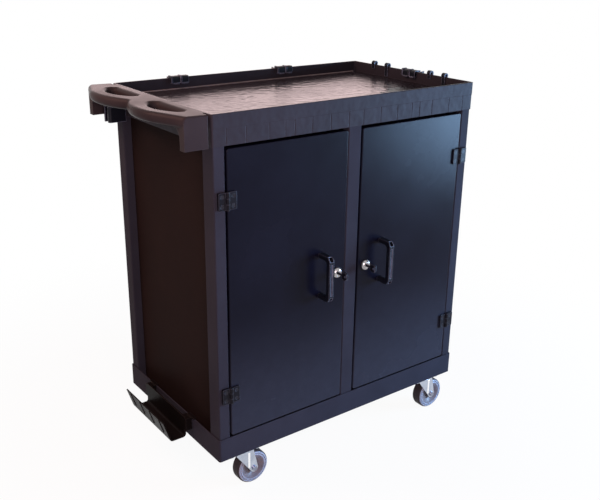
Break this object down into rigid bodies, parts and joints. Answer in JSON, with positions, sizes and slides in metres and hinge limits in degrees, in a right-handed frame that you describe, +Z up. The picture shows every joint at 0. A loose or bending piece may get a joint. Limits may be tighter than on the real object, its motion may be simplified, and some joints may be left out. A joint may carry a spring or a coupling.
{
  "type": "lockable utility cart",
  "caption": "Service cart with a lockable cabinet between a deep base and a top tray, a looped push handle at one end, tool clips and swivel casters.",
  "frame": {"origin": "on the floor, under the centre of the base tray", "axes": "+Z up, -Y towards the person who faces the doors, -X towards the push handle end"},
  "size_m": [0.9321, 0.5602, 0.9705],
  "materials": {
    "moulded_black": "satin moulded",
    "coated_steel": "fine textured powder coat",
    "black_screw": "black oxide",
    "zinc_steel": "zinc plated",
    "lock_chrome": "polished",
    "wheel_grey": "moulded",
    "tyre_grey": "smooth tread"
  },
  "bodies": {
    "cart": {"base_tray": "moulded_black", "top_tray": "moulded_black", "push_handle": "moulded_black", "end_tool_clip": "moulded_black", "rim_tool_clips": "moulded_black", "rim_hooks": "moulded_black", "tool_rest": "moulded_black", "middle_shelf": "moulded_black", "frame_hinge_leaves": "moulded_black", "front_left_post": "coated_steel", "front_right_post": "coated_steel", "rear_left_post": "coated_steel", "rear_right_post": "coated_steel", "centre_post": "coated_steel", "left_side_panel": "coated_steel", "right_side_panel": "coated_steel", "back_panel": "coated_steel", "shelf_brackets": "coated_steel", "frame_hinge_screws": "black_screw", "hinge_pins": "black_screw", "post_screws": "zinc_steel", "shelf_screws": "zinc_steel", "push_handle_screws": "zinc_steel", "caster_plates": "zinc_steel", "king_pins": "zinc_steel", "caster_bolts": "zinc_steel"},
    "left_door": {"left_door": "coated_steel", "left_door_hinge_leaves": "moulded_black", "left_pull_handle": "moulded_black", "left_door_screws": "black_screw", "left_lock_body": "lock_chrome", "left_lock_nut": "zinc_steel"},
    "left_lock": {"left_lock_plug": "lock_chrome", "left_lock_cam": "zinc_steel"},
    "left_key": {"left_key": "moulded_black"},
    "right_door": {"right_door": "coated_steel", "right_door_hinge_leaves": "moulded_black", "right_pull_handle": "moulded_black", "right_door_screws": "black_screw", "right_lock_body": "lock_chrome", "right_lock_nut": "zinc_steel"},
    "right_lock": {"right_lock_plug": "lock_chrome", "right_lock_cam": "zinc_steel"},
    "right_key": {"right_key": "moulded_black"},
    "front_left_caster": {"front_left_fork": "zinc_steel", "front_left_axle": "zinc_steel"},
    "front_left_wheel": {"front_left_hub": "wheel_grey", "front_left_tyre": "tyre_grey"},
    "front_right_caster": {"front_right_fork": "zinc_steel", "front_right_axle": "zinc_steel"},
    "front_right_wheel": {"front_right_hub": "wheel_grey", "front_right_tyre": "tyre_grey"},
    "rear_left_caster": {"rear_left_fork": "zinc_steel", "rear_left_axle": "zinc_steel"},
    "rear_left_wheel": {"rear_left_hub": "wheel_grey", "rear_left_tyre": "tyre_grey"},
    "rear_right_caster": {"rear_right_fork": "zinc_steel", "rear_right_axle": "zinc_steel"},
    "rear_right_wheel": {"rear_right_hub": "wheel_grey", "rear_right_tyre": "tyre_grey"}
  },
  "joints": [
    {"name": "left_door_hinge", "type": "hinge", "parent": "cart", "child": "left_door", "pos_m": [-0.35875, -0.242, 0.5305], "axis": [0, 0, -1], "range_deg": [0, 180]},
    {"name": "left_lock_turn", "type": "hinge", "parent": "left_door", "child": "left_lock", "pos_m": [-0.046, -0.2365, 0.5305], "axis": [0, 1, 0], "range_deg": [0, 90]},
    {"name": "left_key_slide", "type": "slide", "parent": "left_lock", "child": "left_key", "axis": [0, -1, 0], "range_m": [0, 0.026]},
    {"name": "right_door_hinge", "type": "hinge", "parent": "cart", "child": "right_door", "pos_m": [0.35875, -0.242, 0.5305], "axis": [0, 0, 1], "range_deg": [0, 180]},
    {"name": "right_lock_turn", "type": "hinge", "parent": "right_door", "child": "right_lock", "pos_m": [0.046, -0.2365, 0.5305], "axis": [0, -1, 0], "range_deg": [0, 90]},
    {"name": "right_key_slide", "type": "slide", "parent": "right_lock", "child": "right_key", "axis": [0, -1, 0], "range_m": [0, 0.026]},
    {"name": "front_left_swivel", "type": "hinge", "parent": "cart", "child": "front_left_caster", "pos_m": [-0.314, -0.199, 0.104], "axis": [0, 0, 1], "continuous": true},
    {"name": "front_left_spin", "type": "hinge", "parent": "front_left_caster", "child": "front_left_wheel", "pos_m": [-0.282, -0.199, 0.045], "axis": [0, 1, 0], "continuous": true},
    {"name": "front_right_swivel", "type": "hinge", "parent": "cart", "child": "front_right_caster", "pos_m": [0.314, -0.199, 0.104], "axis": [0, 0, 1], "continuous": true},
    {"name": "front_right_spin", "type": "hinge", "parent": "front_right_caster", "child": "front_right_wheel", "pos_m": [0.346, -0.199, 0.045], "axis": [0, 1, 0], "continuous": true},
    {"name": "rear_left_swivel", "type": "hinge", "parent": "cart", "child": "rear_left_caster", "pos_m": [-0.314, 0.199, 0.104], "axis": [0, 0, 1], "continuous": true},
    {"name": "rear_left_spin", "type": "hinge", "parent": "rear_left_caster", "child": "rear_left_wheel", "pos_m": [-0.282, 0.199, 0.045], "axis": [0, 1, 0], "continuous": true},
    {"name": "rear_right_swivel", "type": "hinge", "parent": "cart", "child": "rear_right_caster", "pos_m": [0.314, 0.199, 0.104], "axis": [0, 0, 1], "continuous": true},
    {"name": "rear_right_spin", "type": "hinge", "parent": "rear_right_caster", "child": "rear_right_wheel", "pos_m": [0.346, 0.199, 0.045], "axis": [0, 1, 0], "continuous": true}
  ]
}
